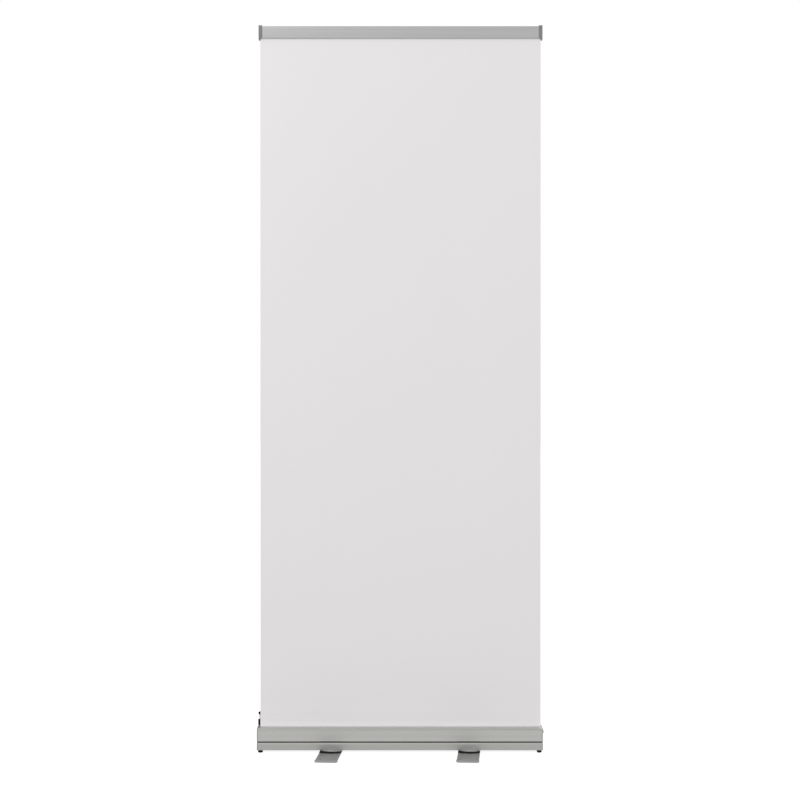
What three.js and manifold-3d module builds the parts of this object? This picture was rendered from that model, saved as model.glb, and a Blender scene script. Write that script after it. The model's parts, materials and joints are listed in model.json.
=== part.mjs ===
// Roll-up banner stand for an 800 x 2000 mm graphic: an aluminium cassette holds a sprung roller,
// a telescopic pole stands behind the graphic and carries the clamp rail that holds its top edge,
// and two flat feet swivel out from under the cassette.
// Millimetres. X runs along the cassette, -Y is the front, Z is up, and Z = 0 is the floor.
import * as THREE from 'three';
import { mergeVertices } from 'three/addons/utils/BufferGeometryUtils.js';
import Module from 'manifold-3d';

const wasm = await Module();
wasm.setup();

// ---------------------------------------------------------------- driving dimensions

const gap = 0.3; // clearance between pieces that touch
const round = 24; // sides of a turned piece
const coarse = 12; // sides of a screw
const quarter = Math.PI / 2;

// The graphic: it leaves the front of the roller and climbs to the rail.
const graphic = { width: 800, thickness: 0.5, centreX: 2, planeY: -13.5, bottom: 41, top: 2058 };
graphic.left = graphic.centreX - graphic.width / 2;
graphic.right = graphic.centreX + graphic.width / 2;

// The cassette's extrusion, closed at both ends by a thin plate of the same outline.
const housing = {
  halfLength: 406,
  front: -42,
  back: 42,
  bottom: 7,
  top: 69,
  wall: 1.6,
  plate: 2,
  frontRadius: 6,
  backRadius: 3,
  bottomRadius: 1.2,
  slotFront: -16,
  slotBack: -9,
  lip: 5,
};
housing.end = housing.halfLength - housing.plate - gap;
housing.floor = housing.bottom + housing.wall;
housing.ceiling = housing.top - housing.wall;
// A channel along its front, under a lip that stands proud and over a shelf that is set back.
const groove = {
  z: 30.3,
  half: 1.8,
  neck: 1.8,
  depth: 7.5,
  lip: 0.8,
  lipStart: 6.5,
  lipEnd: 3,
  shelf: 0.9,
  shelfEnd: 6.3,
};

// Screws that hold the end plates run into C-shaped ports in three corners of the extrusion.
const port = { outer: 3.6, inner: 1.9, inset: 3, mouth: (70 * Math.PI) / 180 };
const plateScrew = { headRadius: 3.2, headDepth: 1.5, radius: 1.5, length: 14 };
const portPlaces = [
  { name: 'front_upper', y: housing.front + 5.2, z: housing.ceiling - port.inset - 0.6, faces: -45 },
  {
    name: 'front_lower',
    y: housing.front + housing.wall + port.inset,
    z: housing.floor + port.inset,
    faces: 45,
  },
  {
    name: 'rear_lower',
    y: housing.back - housing.wall - port.inset,
    z: housing.floor + port.inset,
    faces: 135,
  },
];

// The roller, on a fixed shaft at the spring end and a fixed axle at the other end.
const roller = { y: 0, z: 39, radius: 12.5, wall: 1.2, plugLength: 16, wrap: 0.3 };
roller.inner = roller.radius - roller.wall;
const shaft = { radius: 4, start: -housing.halfLength + 0.4, end: -262 };
const axle = { radius: 3, start: graphic.right - 16, end: housing.halfLength - 0.4 };
const spring = { wire: 0.8, radius: 8, turns: 10, stepsPerTurn: 9, start: -374, end: -278 };

// An index disc at each end of the roller: notches take the lock plunger, holes take the pin.
const index = { radius: 19, steps: 8, leftStart: -402, leftThick: 3.4, rightStart: 402.4, rightThick: 1.3 };
const notch = { width: 4.6, depth: 7 };
const pin = { circle: 15.5, angle: (115 * Math.PI) / 180, radius: 2, headRadius: 3.8, travel: 2 };
pin.y = roller.y + pin.circle * Math.cos(pin.angle);
pin.z = roller.z + pin.circle * Math.sin(pin.angle);

// The lock plunger stands on the cassette over the left index disc.
const plunger = { x: index.leftStart + index.leftThick / 2, radius: 1.8, travel: 6 };
plunger.tip = roller.z + index.radius + 0.6;
const barrel = { bore: 2.1, spigot: 2.7, radius: 5.2, bottom: housing.ceiling - 2.4, shoulder: 71.3, top: 88.2 };
plunger.shoulder = barrel.top + gap + plunger.travel;

// The pole: three tubes, each sliding in the one below.
const pole = { x: graphic.centreX, y: 27.1, travel: 600 };
const tubes = {
  lower: { outer: 8.5, inner: 7.5, bottom: 18.1, top: 760 },
  middle: { outer: 7.2, inner: 6.3, bottom: 680, top: 1400 },
  upper: { outer: 6, inner: 5.1, bottom: 1320, top: 2040 },
};
const socket = { outer: 10, bore: 8.8, bottom: 16, floor: 17.8, flange: 11.4, flangeTop: 71.3 };

// The rail: a back channel carries the hinged front jaw on a bead in a cup.
const rail = {
  left: graphic.left + 5.3,
  right: graphic.right - 5.3,
  bottom: 2033,
  top: 2067.5,
  plateFront: -12.9,
  plateBack: -11.1,
  pocketBack: -5.7,
  rearFace: -4.1,
  pocketMouth: 2042,
  pocketRoof: 2054.5,
  roofThick: 1.6,
  jawFront: -17.8,
  jawBack: -16,
};
const hinge = { y: -12.5, z: 2063.5, bead: 1.6, cupInner: 1.95, cupOuter: 3.2, neck: 0.7 };
const railCap = { bottom: 2028.5, top: 2070.7, front: -18.6, back: -3.4, plate: 4.7, block: 5.3, slotTop: 2060.3 };
const tongue = { front: -10.1, back: -6.7, halfWidth: 12, top: rail.pocketRoof - gap };
const arm = { halfWidth: 8, bottom: 2035, top: 2041 };

// The feet, drawn pointing to the front and turned about their own pivot bolt.
const foot = {
  halfLength: 168,
  width: 62,
  bottom: 1.4,
  top: 4.2,
  capLength: 16,
  capDepth: 6.5,
  capRadius: 9,
  padReach: 142,
};
const feet = [
  { side: 'left', x: -192.4, turn: -4.3 },
  { side: 'right', x: 200, turn: -4.5 },
];
const ribGroove = { reach: 22, half: 0.7, depth: 0.7 };
const swivelPad = { halfLength: 71, endRadius: 53, bottom: 4.5, top: 6.3 };
const bolt = { radius: 3, headRadius: 6.3, headBottom: 1.4, headTop: 4, top: 17 };
const bumper = { radius: 7, top: 6.7, stem: 2.2, stemTop: 8.4, x: 396, y: 35 };

// ---------------------------------------------------------------- materials

const finishes = {
  anodised: { color: 0xb2b1ac, roughness: 0.42, metalness: 0.85 },
  footAluminium: { color: 0x9a9a97, roughness: 0.5, metalness: 0.85 },
  steel: { color: 0xb8bac0, roughness: 0.3, metalness: 1 },
  zincPlate: { color: 0xa9adb2, roughness: 0.35, metalness: 1 },
  springSteel: { color: 0x6d6f72, roughness: 0.4, metalness: 1 },
  poleTube: { color: 0xc2c3c5, roughness: 0.35, metalness: 0.9 },
  blackPlastic: { color: 0x141414, roughness: 0.55, metalness: 0 },
  railCapPlastic: { color: 0x6f7173, roughness: 0.5, metalness: 0 },
  greyPlastic: { color: 0xb9bab8, roughness: 0.5, metalness: 0 },
  whiteNylon: { color: 0xe4e2da, roughness: 0.5, metalness: 0 },
  rubber: { color: 0x101010, roughness: 0.85, metalness: 0 },
  film: { color: 0xe0dfe0, roughness: 0.55, metalness: 0 },
};

const stand = new THREE.Group();

function add(name, geometry, finish, parent = stand) {
  const mesh = new THREE.Mesh(geometry, new THREE.MeshStandardMaterial(finishes[finish]));
  mesh.name = name;
  parent.add(mesh);
  return mesh;
}

// ---------------------------------------------------------------- shapes and solids

// A profile drawn in (Y, Z), drawn out along X.
function alongX(shape, x0, x1, curveSegments = 12) {
  const body = new THREE.ExtrudeGeometry(shape, { depth: x1 - x0, bevelEnabled: false, curveSegments });
  return body.applyMatrix4(new THREE.Matrix4().set(0, 0, 1, x0, 1, 0, 0, 0, 0, 1, 0, 0, 0, 0, 0, 1));
}

// A profile drawn in (X, Z), drawn out along Y.
function alongY(shape, y0, y1, curveSegments = 12) {
  const body = new THREE.ExtrudeGeometry(shape, { depth: y1 - y0, bevelEnabled: false, curveSegments });
  return body.rotateX(quarter).translate(0, y1, 0);
}

// A plan drawn in (X, Y), drawn out along Z.
function alongZ(shape, z0, z1, curveSegments = 12) {
  const body = new THREE.ExtrudeGeometry(shape, { depth: z1 - z0, bevelEnabled: false, curveSegments });
  return body.translate(0, 0, z0);
}

// A profile of [radius, height] points turned about a vertical axis through (x, y).
function turnedZ(profile, x = 0, y = 0, segments = round) {
  const points = profile.map(([radius, height]) => new THREE.Vector2(radius, height));
  return new THREE.LatheGeometry(points, segments).rotateX(quarter).translate(x, y, 0);
}

// A profile of [radius, x] points turned about an axis along X through (y, z).
function turnedX(profile, y = roller.y, z = roller.z, segments = round) {
  const points = profile.map(([radius, x]) => new THREE.Vector2(radius, x));
  return new THREE.LatheGeometry(points, segments).rotateZ(-quarter).translate(0, y, z);
}

const rod = (radius, from, to) => [[0, from], [radius, from], [radius, to], [0, to]];
const pipe = (outer, inner, from, to) => [[inner, from], [outer, from], [outer, to], [inner, to], [inner, from]];

function block([x0, y0, z0], [x1, y1, z1]) {
  const body = new THREE.BoxGeometry(x1 - x0, y1 - y0, z1 - z0);
  return body.translate((x0 + x1) / 2, (y0 + y1) / 2, (z0 + z1) / 2);
}

function polygon(points) {
  return new THREE.Shape(points.map(([u, v]) => new THREE.Vector2(u, v)));
}

function circle(path, u, v, radius) {
  path.moveTo(u + radius, v);
  path.absarc(u, v, radius, 0, 2 * Math.PI, false);
  return path;
}

// Straight sides and bowed ends.
function bowedPlan(halfWidth, halfLength, endRadius) {
  const plan = new THREE.Shape();
  const start = Math.acos(halfWidth / endRadius);
  const centre = halfLength - endRadius;
  plan.absarc(0, centre, endRadius, start, 2 * quarter - start, false);
  plan.absarc(0, -centre, endRadius, 2 * quarter + start, 4 * quarter - start, false);
  plan.closePath();
  return plan;
}

function hexagon(acrossFlats, hole) {
  const corner = acrossFlats / 2 / Math.cos(Math.PI / 6);
  const corners = [...Array(6).keys()].map((k) => (k * Math.PI) / 3);
  const shape = polygon(corners.map((a) => [corner * Math.cos(a), corner * Math.sin(a)]));
  shape.holes.push(circle(new THREE.Path(), 0, 0, hole));
  return shape;
}

function solid(geometry) {
  const bare = geometry.clone();
  bare.deleteAttribute('normal');
  bare.deleteAttribute('uv');
  const merged = mergeVertices(bare, 1e-4);
  const vertProperties = merged.attributes.position.array;
  return new wasm.Manifold(new wasm.Mesh({ numProp: 3, vertProperties, triVerts: new Uint32Array(merged.index.array) }));
}

function geometryOf(body) {
  const { vertProperties, triVerts } = body.getMesh();
  const geometry = new THREE.BufferGeometry();
  geometry.setAttribute('position', new THREE.BufferAttribute(vertProperties, 3));
  geometry.setIndex(new THREE.BufferAttribute(triVerts, 1));
  geometry.computeVertexNormals();
  return geometry;
}

const join = (first, ...others) => geometryOf(others.reduce((body, other) => body.add(solid(other)), solid(first)));
const cut = (first, ...tools) => geometryOf(tools.reduce((body, tool) => body.subtract(solid(tool)), solid(first)));

// ---------------------------------------------------------------- cassette

// The cassette's outside, from the middle of its top round the front, floor and back.
function outerOutline(shape) {
  const { front, back, bottom, top, frontRadius, backRadius, bottomRadius } = housing;
  const { z, half, depth, lip, lipStart, lipEnd, shelf, shelfEnd } = groove;
  shape.absarc(front + frontRadius, top - frontRadius, frontRadius, quarter, 2 * quarter, false);
  shape.lineTo(front, z + lipStart);
  shape.lineTo(front - lip, z + lipEnd);
  shape.lineTo(front, z + half);
  shape.lineTo(front + depth, z + half);
  shape.lineTo(front + depth, z - half);
  shape.lineTo(front + shelf, z - half);
  shape.lineTo(front, z - shelfEnd);
  shape.absarc(front + bottomRadius, bottom + bottomRadius, bottomRadius, 2 * quarter, 3 * quarter, false);
  shape.absarc(back - bottomRadius, bottom + bottomRadius, bottomRadius, 3 * quarter, 4 * quarter, false);
  shape.absarc(back - backRadius, top - backRadius, backRadius, 0, quarter, false);
}

// The wall inside, from the slot's back lip round the back, floor and front to its front lip.
function innerOutline(shape) {
  const { front, back, top, wall, frontRadius, backRadius, slotFront, slotBack, lip, floor, ceiling } = housing;
  const { z, half, neck, depth } = groove;
  shape.lineTo(slotBack, top);
  shape.lineTo(slotBack, top - lip);
  shape.lineTo(slotBack + wall, top - lip);
  shape.lineTo(slotBack + wall, ceiling);
  shape.absarc(back - backRadius, top - backRadius, backRadius - wall, quarter, 0, true);
  shape.lineTo(back - wall, floor);
  shape.lineTo(front + wall, floor);
  shape.lineTo(front + wall, z - half - neck - wall);
  shape.lineTo(front + depth + wall, z - half - wall);
  shape.lineTo(front + depth + wall, z + half + wall);
  shape.lineTo(front + wall, z + half + neck + wall);
  shape.absarc(front + frontRadius, top - frontRadius, frontRadius - wall, 2 * quarter, quarter, true);
  shape.lineTo(slotFront - wall, ceiling);
  shape.lineTo(slotFront - wall, top - lip);
  shape.lineTo(slotFront, top - lip);
  shape.lineTo(slotFront, top);
}

function screwPort({ y, z, faces }) {
  const shape = new THREE.Shape();
  const from = (faces * Math.PI) / 180 + port.mouth / 2;
  const to = from + 2 * Math.PI - port.mouth;
  shape.absarc(y, z, port.outer, from, to, false);
  shape.absarc(y, z, port.inner, to, from, true);
  shape.closePath();
  return alongX(shape, -housing.end, housing.end, 8);
}

function housingBody() {
  const profile = new THREE.Shape();
  profile.moveTo(housing.slotFront, housing.top);
  outerOutline(profile);
  innerOutline(profile);
  const shell = alongX(profile, -housing.end, housing.end, 5);
  const below = housing.bottom - 1;
  const aboveFloor = housing.floor + 1;
  const above = housing.top + 1;
  const inside = housing.ceiling - housing.lip;
  const boltHoles = feet.map(({ x }) => turnedZ(rod(bolt.radius + gap, below, aboveFloor), x, 0));
  const stemHoles = bumperPlaces().map(({ x, y }) => turnedZ(rod(bumper.stem + gap, below, aboveFloor), x, y));
  const spigotRadius = barrel.spigot + gap;
  const openings = [
    turnedZ(rod(socket.outer + gap, inside, above), pole.x, pole.y),
    turnedZ(rod(spigotRadius, inside, above), plunger.x, roller.y),
    block([-housing.end - 1, -spigotRadius, inside], [plunger.x, spigotRadius, above]),
  ];
  return cut(join(shell, ...portPlaces.map(screwPort)), ...openings, ...boltHoles, ...stemHoles);
}

// A countersunk screw along +X whose head is flush with an end plate's outer face at x.
const screwProfile = (x, slack) => [
  [0, x - plateScrew.length],
  [plateScrew.radius + slack, x - plateScrew.length],
  [plateScrew.radius + slack, x - plateScrew.headDepth - slack / 2],
  [plateScrew.headRadius + slack, x - slack / 2],
  [plateScrew.headRadius + slack, x + (slack ? 1 : 0.05)],
  [0, x + (slack ? 1 : 0.05)],
];

function endPlate(side) {
  const outline = new THREE.Shape();
  outline.moveTo(0, housing.top);
  outerOutline(outline);
  outline.closePath();
  const outer = housing.halfLength;
  const plate = alongX(outline, outer - housing.plate, outer, 5);
  const screwHoles = portPlaces.map(({ y, z }) => turnedX(screwProfile(outer, gap), y, z, coarse));
  const centre = (side === 'left' ? shaft.radius : axle.radius) + gap;
  const centreHole = turnedX(rod(centre, outer - 10, outer + 1));
  if (side === 'right') {
    const pinHole = turnedX(rod(pin.radius + gap, outer - 10, outer + 1), pin.y, pin.z);
    return cut(plate, centreHole, pinHole, ...screwHoles);
  }
  return mirroredInX(cut(plate, centreHole, ...screwHoles));
}

// The left-hand copy of a piece: mirrored in X, with each face turned round to point outwards again.
function mirroredInX(geometry) {
  const copy = geometry.clone().scale(-1, 1, 1);
  const corners = copy.index.array;
  for (let i = 0; i < corners.length; i += 3) {
    [corners[i + 1], corners[i + 2]] = [corners[i + 2], corners[i + 1]];
  }
  copy.computeVertexNormals();
  return copy;
}

function bumperPlaces() {
  const sides = [['left', -bumper.x], ['right', bumper.x]];
  const ends = [['front', -bumper.y], ['rear', bumper.y]];
  return sides.flatMap(([side, x]) => ends.map(([end, y]) => ({ name: `rubber_bumper_${side}_${end}`, x, y })));
}

const bumperProfile = [
  [0, 0],
  [4.6, 0],
  [6.2, 0.8],
  [bumper.radius, 2.4],
  [bumper.radius, bumper.top],
  [bumper.stem, bumper.top],
  [bumper.stem, bumper.stemTop],
  [0, bumper.stemTop],
];

function addCassette() {
  add('cassette_housing', housingBody(), 'anodised');
  for (const side of ['left', 'right']) {
    add(`end_plate_${side}`, endPlate(side), 'anodised');
    for (const { name, y, z } of portPlaces) {
      const screw = turnedX(screwProfile(housing.halfLength, 0), y, z, coarse);
      add(`end_plate_screw_${side}_${name}`, side === 'left' ? mirroredInX(screw) : screw, 'zincPlate');
    }
  }
  for (const { name, x, y } of bumperPlaces()) add(name, turnedZ(bumperProfile, x, y, 16), 'rubber');
}

// ---------------------------------------------------------------- roller

class Helix extends THREE.Curve {
  getPoint(t) {
    const angle = 2 * Math.PI * spring.turns * t;
    const x = spring.start + (spring.end - spring.start) * t;
    return new THREE.Vector3(x, spring.radius * Math.cos(angle), roller.z + spring.radius * Math.sin(angle));
  }
}

function torsionSpring() {
  const section = new THREE.Shape();
  circle(section, 0, 0, spring.wire);
  const steps = spring.turns * spring.stepsPerTurn;
  return new THREE.ExtrudeGeometry(section, { steps, curveSegments: 3, bevelEnabled: false, extrudePath: new Helix() });
}

// A disc with square notches in its rim, one of them at the top.
function notchedDisc(bore) {
  const shape = new THREE.Shape();
  const halfAngle = Math.asin(notch.width / 2 / index.radius);
  const root = index.radius - notch.depth;
  const step = (2 * Math.PI) / index.steps;
  for (let k = 0; k < index.steps; k += 1) {
    const centre = quarter + k * step;
    const along = new THREE.Vector2(Math.cos(centre), Math.sin(centre));
    const across = new THREE.Vector2(-along.y, along.x).multiplyScalar(notch.width / 2);
    const floor = along.clone().multiplyScalar(root).add(new THREE.Vector2(roller.y, roller.z));
    shape.absarc(roller.y, roller.z, index.radius, centre - step + halfAngle, centre - halfAngle, false);
    shape.lineTo(floor.x - across.x, floor.y - across.y);
    shape.lineTo(floor.x + across.x, floor.y + across.y);
  }
  shape.closePath();
  shape.holes.push(circle(new THREE.Path(), roller.y, roller.z, bore));
  return alongX(shape, index.leftStart, index.leftStart + index.leftThick, 8);
}

// A disc with a ring of round holes, one of them in line with the retaining pin.
function drilledDisc(bore) {
  const shape = circle(new THREE.Shape(), roller.y, roller.z, index.radius);
  shape.holes.push(circle(new THREE.Path(), roller.y, roller.z, bore));
  for (let k = 0; k < index.steps; k += 1) {
    const angle = pin.angle + (k * 2 * Math.PI) / index.steps;
    const y = roller.y + pin.circle * Math.cos(angle);
    const z = roller.z + pin.circle * Math.sin(angle);
    shape.holes.push(circle(new THREE.Path(), y, z, pin.radius + 0.6));
  }
  return alongX(shape, index.rightStart, index.rightStart + index.rightThick, 8);
}

// A plug that fills the roller's end, with a hub that reaches outwards to carry an index disc.
const plugProfile = (bore, hub, inner, face, outer) => [
  [bore, inner],
  [roller.inner - gap, inner],
  [roller.inner - gap, face],
  [hub, face],
  [hub, outer],
  [bore, outer],
  [bore, inner],
];

function addRoller() {
  const { left, right } = graphic;
  const hub = { left: 6, right: 5.5 };
  const leftProfile = plugProfile(shaft.radius + gap, hub.left, -left - roller.plugLength, -left - gap, -index.leftStart);
  const rightProfile = plugProfile(axle.radius + gap, hub.right, right - roller.plugLength, right - gap, index.rightStart + index.rightThick);
  const wrapInner = roller.radius + gap;
  add('roller_tube', turnedX(pipe(roller.radius, roller.inner, left, right)), 'anodised');
  add('graphic_on_roller', turnedX(pipe(wrapInner + roller.wrap, wrapInner, left, right)), 'film');
  add('spring_end_plug', mirroredInX(turnedX(leftProfile)), 'whiteNylon');
  add('notched_index_disc', notchedDisc(hub.left + gap), 'zincPlate');
  add('spring_shaft', turnedX(rod(shaft.radius, shaft.start, shaft.end)), 'steel');
  add('torsion_spring', torsionSpring(), 'springSteel');
  add('spring_anchor_plug', turnedX(pipe(roller.inner - gap, shaft.radius + gap, shaft.end - 10, shaft.end)), 'whiteNylon');
  add('idler_end_plug', turnedX(rightProfile), 'whiteNylon');
  add('drilled_index_disc', drilledDisc(hub.right + gap), 'zincPlate');
  add('idler_axle', turnedX(rod(axle.radius, axle.start, axle.end)), 'steel');
}

function addGraphic() {
  const { left, right, planeY, thickness, bottom, top } = graphic;
  const front = planeY - thickness / 2;
  add('graphic_panel', block([left, front, bottom], [right, front + thickness, top]), 'film');
}

// ---------------------------------------------------------------- roller locks

function addLocks() {
  const { x } = plunger;
  const { y } = roller;
  const knob = { radius: 4.6, bottom: plunger.shoulder + 7 };
  const stemTop = knob.bottom - gap;
  const barrelProfile = [
    [barrel.bore, barrel.bottom],
    [barrel.spigot, barrel.bottom],
    [barrel.spigot, barrel.shoulder],
    [barrel.radius, barrel.shoulder],
    [barrel.radius, barrel.top - 1],
    [barrel.radius - 1, barrel.top],
    [barrel.bore, barrel.top],
    [barrel.bore, barrel.bottom],
  ];
  const pinProfile = [
    [0, plunger.tip],
    [plunger.radius - 0.5, plunger.tip],
    [plunger.radius, plunger.tip + 0.8],
    [plunger.radius, plunger.shoulder],
    [3.4, plunger.shoulder],
    [3.4, stemTop],
    [0, stemTop],
  ];
  const rise = [...Array(9).keys()].map((k) => -quarter * 0.6 + (k * quarter * 1.6) / 8);
  const ball = rise.map((a) => [knob.radius * Math.cos(a), knob.bottom + knob.radius * (0.81 + Math.sin(a))]);
  const nut = alongZ(hexagon(10, barrel.spigot + gap), housing.top + gap, barrel.shoulder - gap);
  add('lock_plunger_nut', nut.translate(x, y, 0), 'steel');
  add('lock_plunger_barrel', turnedZ(barrelProfile, x, y), 'blackPlastic');
  add('lock_plunger_pin', turnedZ(pinProfile, x, y), 'steel');
  add('lock_plunger_knob', turnedZ([[0, ball[0][1]], ...ball.slice(0, -1), [0, ball[8][1]]], x, y), 'blackPlastic');

  const tip = index.rightStart + index.rightThick + 0.6;
  const face = housing.halfLength + gap + pin.travel;
  const retainer = [
    [0, tip],
    [pin.radius - 0.4, tip],
    [pin.radius, tip + 0.6],
    [pin.radius, face],
    [pin.headRadius, face],
    [pin.headRadius, face + 4],
    [pin.headRadius - 0.7, face + 4.7],
    [0, face + 4.7],
  ];
  add('retaining_pin', turnedX(retainer, pin.y, pin.z), 'steel');
}

// ---------------------------------------------------------------- pole

// A twist lock on the top of one tube, closing on the tube that slides in it.
const lockProfile = (outer, sliding, tubeTop) => [
  [outer + gap, tubeTop - 20],
  [outer + 2.4, tubeTop - 20],
  [outer + 3.2, tubeTop - 16],
  [outer + 3.2, tubeTop + 6],
  [outer + 1.4, tubeTop + 16],
  [sliding + gap, tubeTop + 16],
  [sliding + gap, tubeTop + gap],
  [outer + gap, tubeTop + gap],
  [outer + gap, tubeTop - 20],
];

function poleHead() {
  const { outer, top } = tubes.upper;
  const sleeve = turnedZ(
    [
      [0, top + gap],
      [outer + gap, top + gap],
      [outer + gap, top - 18],
      [outer + 2.4, top - 18],
      [outer + 2.4, top + 4],
      [outer, top + 6.5],
      [0, top + 6.5],
    ],
    pole.x,
    pole.y,
  );
  const armBack = pole.y - outer - 0.6;
  const reach = block([pole.x - arm.halfWidth, tongue.front, arm.bottom], [pole.x + arm.halfWidth, armBack, arm.top]);
  const hook = block(
    [pole.x - tongue.halfWidth, tongue.front, arm.bottom],
    [pole.x + tongue.halfWidth, tongue.back, tongue.top],
  );
  return join(sleeve, reach, hook);
}

function addPole() {
  const { x, y } = pole;
  const socketProfile = [
    [0, socket.bottom],
    [socket.outer, socket.bottom],
    [socket.outer, housing.top + gap],
    [socket.flange, housing.top + gap],
    [socket.flange, socket.flangeTop],
    [socket.bore, socket.flangeTop],
    [socket.bore, socket.floor],
    [0, socket.floor],
  ];
  add('pole_socket', turnedZ(socketProfile, x, y), 'blackPlastic');
  for (const [name, { outer, inner, bottom, top }] of Object.entries(tubes)) {
    add(`pole_tube_${name}`, turnedZ(pipe(outer, inner, bottom, top), x, y), 'poleTube');
  }
  const { lower, middle, upper } = tubes;
  add('twist_lock_lower', turnedZ(lockProfile(lower.outer, middle.outer, lower.top), x, y), 'blackPlastic');
  add('twist_lock_upper', turnedZ(lockProfile(middle.outer, upper.outer, middle.top), x, y), 'blackPlastic');
  add('pole_head_hook', poleHead(), 'blackPlastic');
}

// ---------------------------------------------------------------- rail

// Height of a circle about the hinge's centre where it crosses a vertical line at y, on its lower side.
const lowerCrossing = (radius, y) => -Math.acos((y - hinge.y) / radius);

function backChannel() {
  const { plateFront, plateBack, pocketBack, rearFace, pocketMouth, pocketRoof, roofThick, bottom } = rail;
  const mouthLow = (212 * Math.PI) / 180;
  const mouthHigh = (110 * Math.PI) / 180;
  const shape = new THREE.Shape();
  shape.moveTo(plateFront, bottom + 0.5);
  shape.lineTo(plateBack, bottom + 0.5);
  shape.lineTo(plateBack, pocketRoof);
  shape.lineTo(pocketBack, pocketRoof);
  shape.lineTo(pocketBack, pocketMouth);
  shape.lineTo(rearFace, pocketMouth);
  shape.lineTo(rearFace, pocketRoof + roofThick);
  shape.lineTo(plateBack, pocketRoof + roofThick);
  shape.absarc(hinge.y, hinge.z, hinge.cupOuter, lowerCrossing(hinge.cupOuter, plateBack), mouthHigh, false);
  shape.absarc(hinge.y, hinge.z, hinge.cupInner, mouthHigh, mouthLow - 2 * Math.PI, true);
  const frontCrossing = lowerCrossing(hinge.cupOuter, plateFront) + 2 * Math.PI;
  shape.absarc(hinge.y, hinge.z, hinge.cupOuter, mouthLow, frontCrossing, false);
  shape.closePath();
  return alongX(shape, rail.left, rail.right, 8);
}

function frontJaw() {
  const { jawFront, jawBack, bottom, top } = rail;
  const neckAngle = Math.PI - Math.asin(hinge.neck / hinge.bead);
  const cornerRadius = 1.2;
  const shape = new THREE.Shape();
  shape.moveTo(jawFront, bottom);
  shape.lineTo(jawBack, bottom);
  shape.lineTo(jawBack, hinge.z - hinge.neck);
  shape.absarc(hinge.y, hinge.z, hinge.bead, -neckAngle, neckAngle, false);
  shape.lineTo(jawBack, hinge.z + hinge.neck);
  shape.lineTo(jawBack, top);
  shape.absarc(jawFront + cornerRadius, top - cornerRadius, cornerRadius, quarter, 2 * quarter, false);
  shape.closePath();
  return alongX(shape, rail.left, rail.right, 5);
}

// The right-hand cap: a plate past the graphic's edge, and a block beside the jaws with a slot for it.
function railCapRight() {
  const { bottom, top, front, back, plate, block: inset, slotTop } = railCap;
  const inner = rail.right + gap;
  const outline = (lowest) => {
    const shape = new THREE.Shape();
    shape.moveTo(front, lowest);
    shape.lineTo(back, lowest);
    shape.absarc(back - 3, top - 3, 3, 0, quarter, false);
    shape.absarc(front + 4, top - 4, 4, quarter, 2 * quarter, false);
    shape.closePath();
    return shape;
  };
  const face = alongX(outline(bottom), inner + inset, inner + inset + plate, 4);
  const body = alongX(outline(rail.bottom), inner, inner + inset, 4);
  const spigotFront = rail.plateBack + 0.5;
  const spigotBack = rail.pocketBack - 0.5;
  const spigot = block([inner - 8, spigotFront, rail.pocketMouth + 2], [inner + 1, spigotBack, rail.pocketRoof - gap]);
  const slotFront = graphic.planeY - 0.6;
  const slotBack = graphic.planeY + 0.6;
  const slot = block([inner - 1, slotFront, bottom - 1], [inner + inset - 0.1, slotBack, slotTop]);
  return cut(join(face, body, spigot), slot);
}

function addRail() {
  add('rail_back_channel', backChannel(), 'anodised');
  add('rail_front_jaw', frontJaw(), 'anodised');
  const gripBack = graphic.planeY - graphic.thickness / 2 - gap;
  const grip = block([rail.left, rail.jawBack + gap, rail.bottom + 1], [rail.right, gripBack, rail.bottom + 8]);
  add('rail_gripper_strip', grip, 'rubber');
  const right = railCapRight();
  const left = mirroredInX(right.clone().translate(-graphic.centreX, 0, 0)).translate(graphic.centreX, 0, 0);
  add('rail_end_cap_left', left, 'railCapPlastic');
  add('rail_end_cap_right', right, 'railCapPlastic');
}

// ---------------------------------------------------------------- feet

function footBar() {
  const { width, bottom, top, halfLength, capLength, capDepth } = foot;
  const { reach, half, depth } = ribGroove;
  const grooveAt = (u) => [[u + half, top], [u + half, top - depth], [u - half, top - depth], [u - half, top]];
  const section = polygon([
    [-width / 2, bottom],
    [width / 2, bottom],
    [width / 2, top],
    ...grooveAt(reach),
    ...grooveAt(-reach),
    [-width / 2, top],
  ]);
  const end = halfLength - capLength + capDepth - gap;
  const slack = [
    [0, bottom - 1],
    [bolt.headRadius + gap, bottom - 1],
    [bolt.headRadius + gap, bolt.headBottom + gap],
    [bolt.radius + gap, bolt.headTop],
    [bolt.radius + gap, top + 1],
    [0, top + 1],
  ];
  return cut(alongY(section, -end, end), turnedZ(slack));
}

// A plastic cap that slides over the front end of a foot's bar.
function footCap() {
  const { halfLength, capLength, capDepth, capRadius, width, bottom, top } = foot;
  const half = width / 2 + 0.9;
  const plan = new THREE.Shape();
  plan.moveTo(half, capLength - halfLength);
  plan.lineTo(-half, capLength - halfLength);
  plan.absarc(capRadius - half, capRadius - halfLength, capRadius, 2 * quarter, 3 * quarter, false);
  plan.absarc(half - capRadius, capRadius - halfLength, capRadius, 3 * quarter, 4 * quarter, false);
  plan.closePath();
  const pocketStart = capLength - capDepth - halfLength;
  const pocket = block(
    [-width / 2 - gap, pocketStart, bottom - gap],
    [width / 2 + gap, capLength - halfLength + 1, top + gap],
  );
  return cut(alongZ(plan, bottom - 1, top + 1, 4), pocket);
}

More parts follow.
